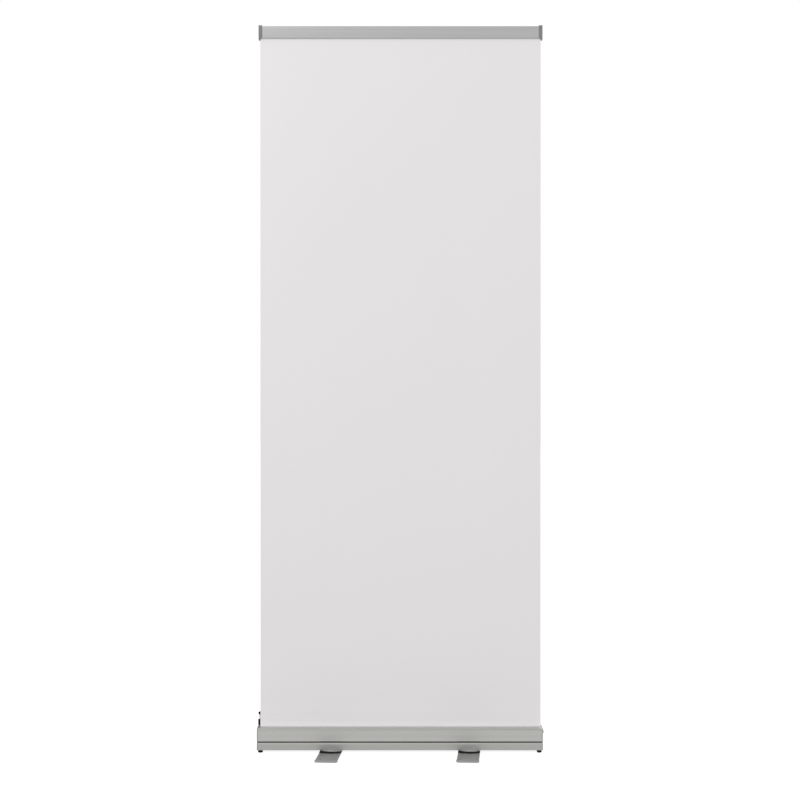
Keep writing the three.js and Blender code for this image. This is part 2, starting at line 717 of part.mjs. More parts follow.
function addFoot({ side, x, turn }) {
  const turning = new THREE.Group();
  turning.position.set(x, 0, 0);
  turning.rotation.z = THREE.MathUtils.degToRad(turn);
  stand.add(turning);
  add(`foot_bar_${side}`, footBar(), 'footAluminium', turning);
  const pad = bowedPlan(foot.width / 2, swivelPad.halfLength, swivelPad.endRadius);
  pad.holes.push(circle(new THREE.Path(), 0, 0, bolt.radius + gap));
  add(`foot_swivel_pad_${side}`, alongZ(pad, swivelPad.bottom, swivelPad.top), 'blackPlastic', turning);
  for (const [end, facing] of [['front', 0], ['rear', Math.PI]]) {
    add(`foot_end_cap_${side}_${end}`, footCap().rotateZ(facing), 'greyPlastic', turning);
    const padY = end === 'front' ? -foot.padReach : foot.padReach;
    add(`foot_rubber_pad_${side}_${end}`, turnedZ(rod(9, 0, foot.bottom - gap), 0, padY), 'rubber', turning);
  }
  const boltProfile = [
    [0, bolt.headBottom],
    [bolt.headRadius, bolt.headBottom],
    [bolt.radius, bolt.headTop - gap],
    [bolt.radius, bolt.top],
    [0, bolt.top],
  ];
  add(`foot_pivot_bolt_${side}`, turnedZ(boltProfile, x, 0), 'zincPlate');
  const nut = alongZ(hexagon(10, bolt.radius + gap), housing.floor + gap, housing.floor + 5.5);
  add(`foot_pivot_nut_${side}`, nut.translate(x, 0, 0), 'zincPlate');
}

addCassette();
addRoller();
addGraphic();
addLocks();
addPole();
addRail();
feet.forEach(addFoot);

export default stand;
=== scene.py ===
"""Looks of the roll-up banner stand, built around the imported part.

Lengths in the tables are millimetres, as in the part's source; meshes are in metres.
X runs along the cassette, -Y is the front and Z is up.
"""

import json
import math

import bmesh
import bpy
from mathutils import Matrix, Vector, noise

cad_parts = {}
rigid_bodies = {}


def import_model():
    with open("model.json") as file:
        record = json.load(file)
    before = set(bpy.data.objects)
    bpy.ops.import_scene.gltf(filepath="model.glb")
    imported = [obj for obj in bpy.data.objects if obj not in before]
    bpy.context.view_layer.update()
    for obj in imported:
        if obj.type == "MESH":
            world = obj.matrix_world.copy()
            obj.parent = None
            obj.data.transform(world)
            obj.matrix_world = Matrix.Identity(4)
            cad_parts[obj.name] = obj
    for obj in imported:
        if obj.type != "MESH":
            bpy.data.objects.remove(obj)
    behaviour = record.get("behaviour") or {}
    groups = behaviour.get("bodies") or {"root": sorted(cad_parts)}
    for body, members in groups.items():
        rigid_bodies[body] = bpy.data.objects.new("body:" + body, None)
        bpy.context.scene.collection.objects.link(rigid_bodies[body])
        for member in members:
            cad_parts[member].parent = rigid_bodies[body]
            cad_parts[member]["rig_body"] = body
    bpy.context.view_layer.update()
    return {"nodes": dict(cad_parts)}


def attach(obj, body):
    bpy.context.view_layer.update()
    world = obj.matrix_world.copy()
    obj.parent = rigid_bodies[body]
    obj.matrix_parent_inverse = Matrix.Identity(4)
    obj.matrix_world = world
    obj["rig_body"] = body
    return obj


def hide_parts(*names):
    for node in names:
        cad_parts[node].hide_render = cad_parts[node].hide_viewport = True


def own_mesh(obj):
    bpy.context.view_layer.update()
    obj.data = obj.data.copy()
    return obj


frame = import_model()

MM = 0.001
GAP = 0.3
NODES = frame["nodes"]

# ------------------------------------------------------------------ sizes

GRAPHIC = {"left": -398.0, "right": 402.0, "plane": -13.5, "thick": 0.5, "bottom": 41.0, "top": 2058.0}
CENTRE_X = (GRAPHIC["left"] + GRAPHIC["right"]) / 2
FRONT, BACK, BOTTOM, TOP, WALL = -42.0, 42.0, 7.0, 69.0, 1.6
END = 403.7  # the extrusion's end
OUTER_END = 406.0  # the end plates' outer face
SLOT_FRONT, SLOT_BACK, SLOT_DEEP = -16.0, -9.0, 5.0
FLOOR_IN, CEILING = BOTTOM + WALL, TOP - WALL
GROOVE = {"z": 30.3, "half": 1.8, "neck": 1.8, "depth": 7.5}
# The lip over the groove and the set-back face under it: how far out or in, and heights from the groove.
LIP_OUT, LIP_START, LIP_END = 0.8, 6.5, 3.0
SHELF_IN, SHELF_END = 0.9, 6.3
FRONT_ROUND, BACK_ROUND, BASE_ROUND = 6.0, 3.0, 1.2  # radii of the housing's long edges
# Screw ports along the housing: y, z and the direction of their open side in degrees.
PORTS = {"front_upper": (-36.8, 63.8, -45), "front_lower": (-37.4, 11.6, 45), "rear_lower": (37.4, 11.6, 135)}
PORT_OUTER, PORT_INNER = 3.6, 1.9
BUMPERS = {
    "left_front": (-396.0, -35.0),
    "left_rear": (-396.0, 35.0),
    "right_front": (396.0, -35.0),
    "right_rear": (396.0, 35.0),
}
ROLLER_Z = 39.0
PIN_Y, PIN_Z = -6.551, 53.048
PLUNGER_X = -400.3
POLE_Y = 27.1
# Pole tubes: outer radius, inner radius, bottom and top.
TUBES = {
    "lower": (8.5, 7.5, 18.1, 760.0),
    "middle": (7.2, 6.3, 680.0, 1400.0),
    "upper": (6.0, 5.1, 1320.0, 2040.0),
}
RAIL_LEFT, RAIL_RIGHT, RAIL_BOTTOM = -392.7, 396.7, 2033.0
HINGE_Y, HINGE_Z = -12.5, 2063.5
FEET = {"left": (-192.4, -4.3), "right": (200.0, -4.5)}  # the pivot's x, and the turn in degrees
FOOT_END = 168.0
FOOT_HALF, FOOT_UNDER, FOOT_TOP = 31.0, 1.4, 4.2
CAP_LENGTH, CAP_ROUND, CAP_HALF = 16.0, 9.0, 31.9
BAR_SHORTER = 9.8  # how far the bar ends inside its caps' ends
RUBBER_BACK = 26.0  # from a foot's end to its rubber pad's centre
PAD_BOTTOM, PAD_WELL, PAD_TOP = 4.5, 6.15, 6.3
PAD_ROUND, PAD_CENTRE, WELL_CENTRE = 53.0, 18.0, -1.5
BOLT_HOLE = 3.3


# ------------------------------------------------------------------ outlines


def arc(u, v, radius, start, end, steps=10):
    """Points of an arc in degrees, none of them to be rounded."""
    angles = [math.radians(start + (end - start) * k / steps) for k in range(steps + 1)]
    return [(u + radius * math.cos(a), v + radius * math.sin(a), 0) for a in angles]


def rounded(corners, steps=3, closed=True):
    """An outline of (u, v) from corners (u, v, radius)."""
    points = []
    count = len(corners)
    for i, (u, v, radius) in enumerate(corners):
        if radius <= 0 or (not closed and i in (0, count - 1)):
            points.append((u, v))
            continue
        corner = Vector((u, v))
        back = Vector(corners[i - 1][:2]) - corner
        ahead = Vector(corners[(i + 1) % count][:2]) - corner
        half = back.angle(ahead) / 2
        if half > math.radians(89):
            points.append((u, v))
            continue
        reach = min(radius / math.tan(half), 0.45 * back.length, 0.45 * ahead.length)
        back.normalize()
        ahead.normalize()
        centre = corner + (back + ahead).normalized() * (reach / math.cos(half))
        first = corner + back * reach - centre
        last = corner + ahead * reach - centre
        sweep = first.angle(last)
        for k in range(steps + 1):
            w = k / steps
            spoke = (first * math.sin((1 - w) * sweep) + last * math.sin(w * sweep)) / math.sin(sweep)
            points.append(tuple(centre + spoke))
    return points


def inset(points, distance):
    """The outline moved inwards, for points in anticlockwise order."""
    moved = []
    count = len(points)
    for i, (u, v) in enumerate(points):
        before = Vector((u - points[i - 1][0], v - points[i - 1][1])).normalized()
        after = Vector((points[(i + 1) % count][0] - u, points[(i + 1) % count][1] - v)).normalized()
        normal = Vector((-before.y - after.y, before.x + after.x)).normalized()
        stretch = max(0.5, normal.dot(Vector((-before.y, before.x))))
        moved.append((u + normal.x * distance / stretch, v + normal.y * distance / stretch))
    return moved


def anticlockwise(points):
    area = sum(p[0] * q[1] - q[0] * p[1] for p, q in zip(points, points[1:] + points[:1]))
    return points if area > 0 else points[::-1]


# ------------------------------------------------------------------ meshes

PLACE = {
    "X": lambda u, v, w: (w, u, v),
    "Y": lambda u, v, w: (u, w, v),
    "Z": lambda u, v, w: (u, v, w),
}


def new_object(name, bm):
    bmesh.ops.recalc_face_normals(bm, faces=bm.faces)
    mesh = bpy.data.meshes.new(name)
    bm.to_mesh(mesh)
    bm.free()
    obj = bpy.data.objects.new(name, mesh)
    bpy.context.scene.collection.objects.link(obj)
    return obj


def prism(name, outline, axis, start, end, chamfer=0.0):
    """An outline drawn out along an axis, with its end edges broken by a small chamfer."""
    outline = anticlockwise([tuple(p[:2]) for p in outline])
    rings = [(start, outline), (end, outline)]
    if chamfer:
        small = inset(outline, chamfer)
        rings = [(start, small), (start + chamfer, outline), (end - chamfer, outline), (end, small)]
    bm = bmesh.new()
    made = []
    for w, points in rings:
        made.append([bm.verts.new([c * MM for c in PLACE[axis](u, v, w)]) for u, v in points])
    count = len(outline)
    for low, high in zip(made, made[1:]):
        for i in range(count):
            bm.faces.new((low[i], low[(i + 1) % count], high[(i + 1) % count], high[i]))
    ends = [bm.faces.new(made[0][::-1]), bm.faces.new(made[-1])]
    bm.normal_update()
    bmesh.ops.triangulate(bm, faces=ends)
    return new_object(name, bm)


def turned(name, profile, axis="Z", centre=(0, 0), segments=48, shape=None, steps=3):
    """A profile of (radius, height, rounding) turned about an axis. It is closed if it never meets the axis."""
    solid = profile[0][0] == 0
    points = rounded(profile, steps, closed=not solid)
    bm = bmesh.new()
    rings = []
    for radius, height in points:
        if radius == 0:
            rings.append([bm.verts.new([c * MM for c in PLACE[axis](*centre, height)])])
            continue
        ring = []
        for k in range(segments):
            angle = 2 * math.pi * k / segments
            r = shape(radius, height, angle) if shape else radius
            u, v = centre[0] + r * math.cos(angle), centre[1] + r * math.sin(angle)
            ring.append(bm.verts.new([c * MM for c in PLACE[axis](u, v, height)]))
        rings.append(ring)
    pairs = list(zip(rings, rings[1:])) + ([] if solid else [(rings[-1], rings[0])])
    for low, high in pairs:
        for k in range(segments):
            after = (k + 1) % segments
            corners = [low[k % len(low)], low[after % len(low)], high[after % len(high)], high[k % len(high)]]
            bm.faces.new(list(dict.fromkeys(corners)))
    return new_object(name, bm)


def rod(radius, start, end, edge=0.3):
    return [(0, start, 0), (radius, start, edge), (radius, end, edge), (0, end, 0)]


def pipe(outer, inner, start, end, edge=0.2):
    return [(inner, start, edge), (outer, start, edge), (outer, end, edge), (inner, end, edge)]


def box(name, low, high, edge=0.0):
    (left, front), (right, back) = low[:2], high[:2]
    outline = [(left, front, edge), (right, front, edge), (right, back, edge), (left, back, edge)]
    return prism(name, rounded(outline), "Z", low[2], high[2], min(edge / 2, 0.4))


def combined(obj, tools, operation):
    """obj after each tool is joined to it or cut from it."""
    for tool in tools:
        step = obj.modifiers.new("step", "BOOLEAN")
        step.operation = operation
        step.solver = "EXACT"
        step.object = tool
    shown = obj.evaluated_get(bpy.context.evaluated_depsgraph_get())
    mesh = bpy.data.meshes.new_from_object(shown)
    obj.modifiers.clear()
    obj.data = mesh
    for tool in tools:
        bpy.data.objects.remove(tool)
    return obj


def mirrored(obj, name, centre):
    """A copy of obj on the other side of the plane X = centre."""
    mesh = obj.data.copy()
    mesh.transform(Matrix.Translation((2 * centre * MM, 0, 0)) @ Matrix.Scale(-1, 4, (1, 0, 0)))
    mesh.flip_normals()
    copy = bpy.data.objects.new(name, mesh)
    bpy.context.scene.collection.objects.link(copy)
    return copy


def flipped(obj, centre):
    """obj itself, moved to the other side of the plane X = centre."""
    obj.data.transform(Matrix.Translation((2 * centre * MM, 0, 0)) @ Matrix.Scale(-1, 4, (1, 0, 0)))
    obj.data.flip_normals()
    return obj


# ------------------------------------------------------------------ materials

ROUGH_SPREAD = 0.06


def socket_values(node, values):
    for name, value in values.items():
        node.inputs[name].default_value = value


def noise_field(tree, stretch, detail=4.0, rough=0.55):
    """A noise in the piece's own coordinates, stretched by a number of cells per metre along each axis."""
    place = tree.nodes.new("ShaderNodeTexCoord")
    mapping = tree.nodes.new("ShaderNodeMapping")
    mapping.inputs["Scale"].default_value = stretch
    field = tree.nodes.new("ShaderNodeTexNoise")
    socket_values(field, {"Scale": 1.0, "Detail": detail, "Roughness": rough})
    tree.links.new(place.outputs["Object"], mapping.inputs["Vector"])
    tree.links.new(mapping.outputs["Vector"], field.inputs["Vector"])
    return field.outputs[0]


def painted_light_by_height(tree, colour, stops):
    """The colour times a share that depends on height, from stops (height, share): light or shade painted in by
    height.
    """
    place = tree.nodes.new("ShaderNodeTexCoord")
    split = tree.nodes.new("ShaderNodeSeparateXYZ")
    tree.links.new(place.outputs["Object"], split.inputs[0])
    low, high = stops[0][0], stops[-1][0]
    share = tree.nodes.new("ShaderNodeMapRange")
    socket_values(share, {"From Min": low * MM, "From Max": high * MM})
    tree.links.new(split.outputs["Z"], share.inputs["Value"])
    ramp = tree.nodes.new("ShaderNodeValToRGB")
    elements = ramp.color_ramp.elements
    while len(elements) < len(stops):
        elements.new(0.5)
    for element, (height, light) in zip(elements, stops):
        element.position = (height - low) / (high - low)
        element.color = (light, light, light, 1)
    tree.links.new(share.outputs[0], ramp.inputs[0])
    product = tree.nodes.new("ShaderNodeMix")
    product.data_type = "RGBA"
    product.blend_type = "MULTIPLY"
    product.inputs[0].default_value = 1.0
    tree.links.new(colour, product.inputs[6])
    tree.links.new(ramp.outputs["Color"], product.inputs[7])
    return product.outputs[2]


def material(name, colour, metallic, roughness, tone, grain, spread, bump=0.02, low=(), **more):
    """A finish with its tone, gloss and relief broken up by two noises.

    tone and grain are the slow and the fine noise's cells per metre, and spread is how far the colour varies.
    low is the list of height stops that paint light or shade into the colour, and more sets the shader's own
    sockets.
    """
    made = bpy.data.materials.new(name)
    made.use_nodes = True
    tree = made.node_tree
    shader = tree.nodes["Principled BSDF"]
    shader.inputs["Metallic"].default_value = metallic
    socket_values(shader, more)
    slow, fine = noise_field(tree, tone, 3.0), noise_field(tree, grain, 5.0, 0.6)
    blend = tree.nodes.new("ShaderNodeMath")
    blend.operation = "MULTIPLY_ADD"
    blend.inputs[1].default_value = 0.5
    half = tree.nodes.new("ShaderNodeMath")
    half.operation = "MULTIPLY"
    half.inputs[1].default_value = 0.5
    tree.links.new(fine, half.inputs[0])
    tree.links.new(slow, blend.inputs[0])
    tree.links.new(half.outputs[0], blend.inputs[2])
    ramp = tree.nodes.new("ShaderNodeValToRGB")
    for stop, place, share in zip(ramp.color_ramp.elements, (0.32, 0.68), (1 - spread, 1 + spread)):
        stop.position = place
        stop.color = [min(1.0, c * share) for c in colour] + [1.0]
    tree.links.new(blend.outputs[0], ramp.inputs[0])
    # With stops, light or shade painted by height is multiplied into the base colour.
    shown = painted_light_by_height(tree, ramp.outputs["Color"], low) if low else ramp.outputs["Color"]
    tree.links.new(shown, shader.inputs["Base Color"])
    gloss = tree.nodes.new("ShaderNodeMapRange")
    gloss_range = {"To Min": roughness - ROUGH_SPREAD, "To Max": roughness + ROUGH_SPREAD}
    socket_values(gloss, {"From Min": 0.3, "From Max": 0.7, **gloss_range})
    tree.links.new(fine, gloss.inputs["Value"])
    tree.links.new(gloss.outputs[0], shader.inputs["Roughness"])
    relief = tree.nodes.new("ShaderNodeBump")
    socket_values(relief, {"Strength": 0.6, "Distance": bump * MM})
    tree.links.new(fine, relief.inputs["Height"])
    tree.links.new(relief.outputs["Normal"], shader.inputs["Normal"])
    return made


def all_materials():
    drawn_x, drawn_y, drawn_z = (1.5, 420, 420), (420, 1.5, 420), (500, 500, 2)
    long_x, cloud = (1.2, 90, 90), (9, 9, 9)
    slow_film, fine_film = (1.4, 1.4, 0.9), (900, 900, 900)
    plastic, zinc_grain, wire_grain = (1100, 1100, 1100), (700, 700, 700), (800, 800, 800)
    dull = {"Specular IOR Level": 0.1}
    # Painted light: shares of the film's full tone by height, lightest where it leaves the slot, to cancel the
    # shade that falls on it there.
    film_painted_light = ((69, 1.0), (74, 0.92), (78, 0.84), (86, 0.755), (104, 0.709), (150, 0.683))
    black, rubber, dark_grey = (0.006, 0.006, 0.0065), (0.008, 0.008, 0.008), (0.135, 0.138, 0.142)
    return {
        "cassette": material("anodised_cassette", (0.376, 0.374, 0.356), 0.7, 0.32, long_x, drawn_x, 0.05),
        # Painted shade: a darker, duller copy of the cassette's finish, for the face under the groove and the
        # rounded front top edge.
        "lower": material("painted_shade_lower_face", (0.30, 0.298, 0.282), 0.3, 0.45, long_x, drawn_x, 0.05),
        # Painted light: a lighter copy of the cassette's finish, for the top in front of the slot.
        "edge": material("painted_light_top_edge", (0.44, 0.437, 0.416), 0.7, 0.32, long_x, drawn_x, 0.05),
        # Painted shade: a dark finish inside the groove.
        "channel": material("shaded_channel", (0.10, 0.10, 0.094), 0.6, 0.5, long_x, drawn_x, 0.08),
        "plate": material("anodised_end_plate", (0.30, 0.30, 0.285), 0.75, 0.46, cloud, (600, 600, 600), 0.04),
        "rail": material("anodised_rail", (0.355, 0.355, 0.357), 0.75, 0.40, (1.2, 130, 130), drawn_x, 0.06),
        "foot": material("foot_aluminium", (0.33, 0.33, 0.325), 0.7, 0.48, (90, 1.2, 90), drawn_y, 0.07),
        "lining": material("bare_swivel_plate", (0.76, 0.76, 0.75), 0.2, 0.5, cloud, (500, 500, 500), 0.03),
        "pole": material("pole_tube_aluminium", (0.40, 0.405, 0.41), 0.9, 0.3, (60, 60, 1.5), drawn_z, 0.04),
        "steel": material("turned_steel", (0.56, 0.57, 0.58), 1.0, 0.28, cloud, (500, 500, 500), 0.05),
        "zinc": material("zinc_plated_steel", (0.46, 0.48, 0.50), 1.0, 0.36, (70, 70, 70), zinc_grain, 0.1),
        "spring": material("spring_steel_wire", (0.16, 0.16, 0.17), 1.0, 0.4, (60, 60, 60), wire_grain, 0.12),
        "black": material("black_moulded_plastic", black, 0.0, 0.65, cloud, plastic, 0.2, 0.03, **dull),
        "cap": material("dark_grey_moulded_plastic", dark_grey, 0.0, 0.45, cloud, plastic, 0.06, 0.03),
        "grey": material("grey_moulded_plastic", (0.23, 0.23, 0.228), 0.0, 0.55, cloud, plastic, 0.04, 0.03),
        "nylon": material("white_nylon", (0.78, 0.76, 0.70), 0.0, 0.5, cloud, (900, 900, 900), 0.03),
        "rubber": material("black_rubber", rubber, 0.0, 0.85, cloud, (1300, 1300, 1300), 0.25, 0.05, **dull),
        "film": material(
            "printed_film", (0.80, 0.783, 0.793), 0.0, 0.42, slow_film, fine_film, 0.012, 0.006, film_painted_light
        ),
        "film_back": material("film_back", (0.45, 0.45, 0.455), 0.0, 0.6, slow_film, fine_film, 0.015, 0.006),
    }


M = all_materials()


def piece(obj, node, body, finish, angle=32):
    """obj stands for a CAD node, rides on its body and gets its finish."""
    obj.name = f"{node}_detailed"
    obj.data.name = obj.name
    obj.data.materials.clear()
    obj.data.materials.append(M[finish])
    obj.data.shade_smooth()
    obj.data.set_sharp_from_angle(angle=math.radians(angle))
    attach(obj, body)
    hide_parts(node)
    return obj


def body_of(node):
    """The CAD body that holds a node."""
    return NODES[node]["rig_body"]


def kept(node, finish):
    """A CAD node that stays as it is, with a better material."""
    NODES[node].data.materials.clear()
    NODES[node].data.materials.append(M[finish])


# ------------------------------------------------------------------ cassette


def outer_side():
    """The cassette's outside from its top front edge, round the front and floor, to its top back edge."""
    z, half, depth = GROOVE["z"], GROOVE["half"], FRONT + GROOVE["depth"]
    return [
        *arc(FRONT + FRONT_ROUND, TOP - FRONT_ROUND, FRONT_ROUND, 90, 180, 12),
        (FRONT, z + LIP_START, 0.5),
        (FRONT - LIP_OUT, z + LIP_END, 0.5),
        (FRONT, z + half, 0.4),
        (depth, z + half, 0.3),
        (depth, z - half, 0.3),
        (FRONT + SHELF_IN, z - half, 0.4),
        (FRONT, z - SHELF_END, 0.5),
        *arc(FRONT + BASE_ROUND, BOTTOM + BASE_ROUND, BASE_ROUND, 180, 270, 6),
        *arc(BACK - BASE_ROUND, BOTTOM + BASE_ROUND, BASE_ROUND, 270, 360, 6),
        *arc(BACK - BACK_ROUND, TOP - BACK_ROUND, BACK_ROUND, 0, 90, 8),
    ]


def inner_side():
    """Its inside, from the graphic's slot round the back, floor and channel to the slot again."""
    z, half, neck = GROOVE["z"], GROOVE["half"], GROOVE["neck"]
    inner, channel = FRONT + WALL, FRONT + GROOVE["depth"] + WALL
    return [
        (SLOT_BACK, TOP, 0.5),
        (SLOT_BACK, TOP - SLOT_DEEP, 0.6),
        (SLOT_BACK + WALL, TOP - SLOT_DEEP, 0.6),
        (SLOT_BACK + WALL, CEILING, 0.5),
        *arc(BACK - BACK_ROUND, TOP - BACK_ROUND, BACK_ROUND - WALL, 90, 0, 4),
        (BACK - WALL, FLOOR_IN, 0.6),
        (inner, FLOOR_IN, 0.6),
        (inner, z - half - neck - WALL, 0.4),
        (channel, z - half - WALL, 0.4),
        (channel, z + half + WALL, 0.4),
        (inner, z + half + neck + WALL, 0.4),
        *arc(FRONT + FRONT_ROUND, TOP - FRONT_ROUND, FRONT_ROUND - WALL, 180, 90, 8),
        (SLOT_FRONT - WALL, CEILING, 0.5),
        (SLOT_FRONT - WALL, TOP - SLOT_DEEP, 0.6),
        (SLOT_FRONT, TOP - SLOT_DEEP, 0.6),
        (SLOT_FRONT, TOP, 0.5),
    ]


def screw_port(y, z, faces):
    """A C-shaped channel for a screw, open towards the inside of the housing."""
    start, end = faces + 35, faces + 325
    outline = arc(y, z, PORT_OUTER, start, end, 24) + arc(y, z, PORT_INNER, end, start, 18)
    return prism("port", outline, "X", -END, END)


def build_housing():
    shell = prism("housing", rounded(outer_side() + inner_side()), "X", -END, END)
    combined(shell, [screw_port(*place) for place in PORTS.values()], "UNION")
    inside, above = CEILING - SLOT_DEEP, TOP + 1
    holes = [
        turned("hole", rod(10.3, inside, above, 0), centre=(CENTRE_X, POLE_Y)),
        turned("hole", rod(3.0, inside, above, 0), centre=(PLUNGER_X, 0)),
        box("hole", (-END - 1, -3.0, inside), (PLUNGER_X, 3.0, above)),
    ]
    for x, _ in FEET.values():
        holes.append(turned("hole", rod(BOLT_HOLE, BOTTOM - 1, FLOOR_IN + 1, 0), centre=(x, 0)))
    for x, y in BUMPERS.values():
        holes.append(turned("hole", rod(2.5, BOTTOM - 1, FLOOR_IN + 1, 0), centre=(x, y), segments=24))
    return combined(shell, holes, "DIFFERENCE")


def plate_screw(slack, x=OUTER_END):
    """A countersunk screw's profile along X; with slack it is the tool that cuts the hole for it."""
    top = x + (1 if slack else 0.05)
    return [
        (0, x - 14, 0),
        (1.5 + slack, x - 14, 0.2),
        (1.5 + slack, x - 1.5 - slack / 2, 0),
        (3.2 + slack, x - slack / 2, 0),
        (3.2 + slack, top, 0 if slack else 0.1),
        (0, top, 0),
    ]


def build_end_plate(side):
    """An end plate with its screw holes, the shaft's or axle's hole and, at the right, the retaining pin's."""
    outline = rounded(outer_side())
    plate = prism("plate", outline, "X", OUTER_END - 2, OUTER_END, 0.3)
    through = (OUTER_END - 10, OUTER_END + 1)
    holes = [turned("hole", plate_screw(GAP), "X", place[:2], 24) for place in PORTS.values()]
    holes.append(turned("hole", rod(4.3 if side == "left" else 3.3, *through, 0), "X", (0, ROLLER_Z), 32))
    if side == "right":
        holes.append(turned("hole", rod(2.3, *through, 0), "X", (PIN_Y, PIN_Z), 24))
    combined(plate, holes, "DIFFERENCE")
    return flipped(plate, 0) if side == "left" else plate


def build_plate_screw(y, z, side):
    """The screw with a cross recess in its head."""
    screw = turned("screw", plate_screw(0), "X", (y, z), 24)
    turn = Matrix.Translation((0, y * MM, z * MM)) @ Matrix.Rotation(0.6, 4, "X")
    bars = []
    for long, wide in ((1.9, 0.35), (0.35, 1.9)):
        bar = box("bar", (OUTER_END - 1.1, -long, -wide), (OUTER_END + 1, long, wide))
        bar.data.transform(turn)
        bars.append(bar)
    combined(screw, bars, "DIFFERENCE")
    return flipped(screw, 0) if side == "left" else screw


def housing_finish(y, z):
    """The finish of the housing's face whose centre is at y and z: painted shade in the groove, under it and on
    the rounded front top edge, painted light on the top in front of the slot, and the housing's own finish
    elsewhere.
    """
    edge_start, top_start = TOP - FRONT_ROUND, TOP - 1.3
    # Painted shade inside the groove.
    if FRONT + 1 < y < FRONT + GROOVE["depth"] + 0.2 and abs(z - GROOVE["z"]) < GROOVE["half"] + 0.1:
        return "channel"
    # Painted shade under the groove and on the rounded front top edge.
    if y < FRONT + 3 and (z < GROOVE["z"] - SHELF_END or edge_start < z < top_start):
        return "lower"
    # Painted light on the top in front of the slot.
    if y < SLOT_FRONT + 1 and z > top_start:
        return "edge"
    return "cassette"


def build_cassette():
    shell = piece(build_housing(), "cassette_housing", "cassette", "cassette")
    # The housing's own finish, then painted shade on its faces, painted shade in the groove and painted light
    # on its top.
    finishes = ["cassette", "lower", "channel", "edge"]
    for finish in finishes[1:]:
        shell.data.materials.append(M[finish])
    for face in shell.data.polygons:
        face.material_index = finishes.index(housing_finish(face.center.y / MM, face.center.z / MM))
    for side in ("left", "right"):
        piece(build_end_plate(side), f"end_plate_{side}", "cassette", "plate")
        for place, (y, z, _) in PORTS.items():
            screw = build_plate_screw(y, z, side)
            piece(screw, f"end_plate_screw_{side}_{place}", "cassette", "zinc")
    bumper = [
        (0, 0, 0),
        (4.6, 0, 0.4),
        (6.2, 0.8, 0.6),
        (7, 2.4, 0.8),
        (7, 6.7, 0.3),
        (2.2, 6.7, 0),
        (2.2, 8.4, 0.3),
        (0, 8.4, 0),
    ]
    for place, centre in BUMPERS.items():
        made = turned("bumper", bumper, centre=centre, segments=40)
        piece(made, f"rubber_bumper_{place}", "cassette", "rubber")


# ------------------------------------------------------------------ roller


def coil(name, radius, wire, turns, start, end, per_turn=28, sides=10):
    """A round wire wound along X about the roller's axis."""
    bm = bmesh.new()
    rings = []
    count = turns * per_turn
    pitch = (end - start) / turns
    for k in range(count + 1):
        angle = 2 * math.pi * k / per_turn
        out = Vector((0, math.cos(angle), math.sin(angle)))
        ahead = Vector((pitch, -2 * math.pi * radius * math.sin(angle), 2 * math.pi * radius * math.cos(angle)))
        across = ahead.normalized().cross(out)
        centre = Vector((start + pitch * k / per_turn, 0, ROLLER_Z)) + out * radius
        ring = []
        for s in range(sides):
            around = 2 * math.pi * s / sides
            away = out * math.cos(around) + across * math.sin(around)
            ring.append(bm.verts.new((centre + wire * away) * MM))
        rings.append(ring)
    for low, high in zip(rings, rings[1:]):
        for s in range(sides):
            bm.faces.new((low[s], low[(s + 1) % sides], high[(s + 1) % sides], high[s]))
    bm.faces.new(rings[0][::-1])
    bm.faces.new(rings[-1])
    return new_object(name, bm)


def end_plug(bore, hub, inner, face, outer):
    """A plug that fills the roller tube's end as far as face, with a smaller hub beyond it."""
    return [
        (bore, inner, 0.3),
        (11, inner, 0.4),
        (11, face, 0.4),
        (hub, face, 0.3),
        (hub, outer, 0.3),
        (bore, outer, 0.2),
    ]


def build_roller():
    axis = ("X", (0, ROLLER_Z), 64)
    left, right = GRAPHIC["left"], GRAPHIC["right"]
    round_pieces = {
        "roller_tube": (pipe(12.5, 11.3, left, right), "pole"),
        "graphic_on_roller": (pipe(13.1, 12.8, left, right, 0.05), "film"),
        "idler_end_plug": (end_plug(3.3, 5.5, 386, 401.7, 403.7), "nylon"),
        "spring_shaft": (rod(4, -405.6, -262), "steel"),
        "spring_anchor_plug": (pipe(11, 4.3, -272, -262, 0.5), "nylon"),
        "idler_axle": (rod(3, 386, 405.6), "steel"),
    }
    for node, (profile, finish) in round_pieces.items():
        piece(turned(node, profile, *axis), node, body_of(node), finish)
    left_plug = flipped(turned("plug", end_plug(4.3, 6, 382, 397.7, 402), *axis), 0)
    piece(left_plug, "spring_end_plug", body_of("spring_end_plug"), "nylon")
    piece(coil("spring", 8, 0.8, 10, -374, -278), "torsion_spring", body_of("torsion_spring"), "spring")
    for node in ("notched_index_disc", "drilled_index_disc"):
        kept(node, "zinc")


# ------------------------------------------------------------------ roller locks


def hexagon(across, edge):
    corner = across / math.sqrt(3)
    angles = [k * math.pi / 3 for k in range(6)]
    return rounded([(corner * math.cos(a), corner * math.sin(a), edge) for a in angles])


def hex_nut(across, bore, start, end, centre):
    nut = prism("nut", hexagon(across, 0.5), "Z", start, end, 0.35)
    combined(nut, [turned("hole", rod(bore, start - 1, end + 1, 0), segments=32)], "DIFFERENCE")
    nut.data.transform(Matrix.Translation((centre[0] * MM, centre[1] * MM, 0)))
    return nut


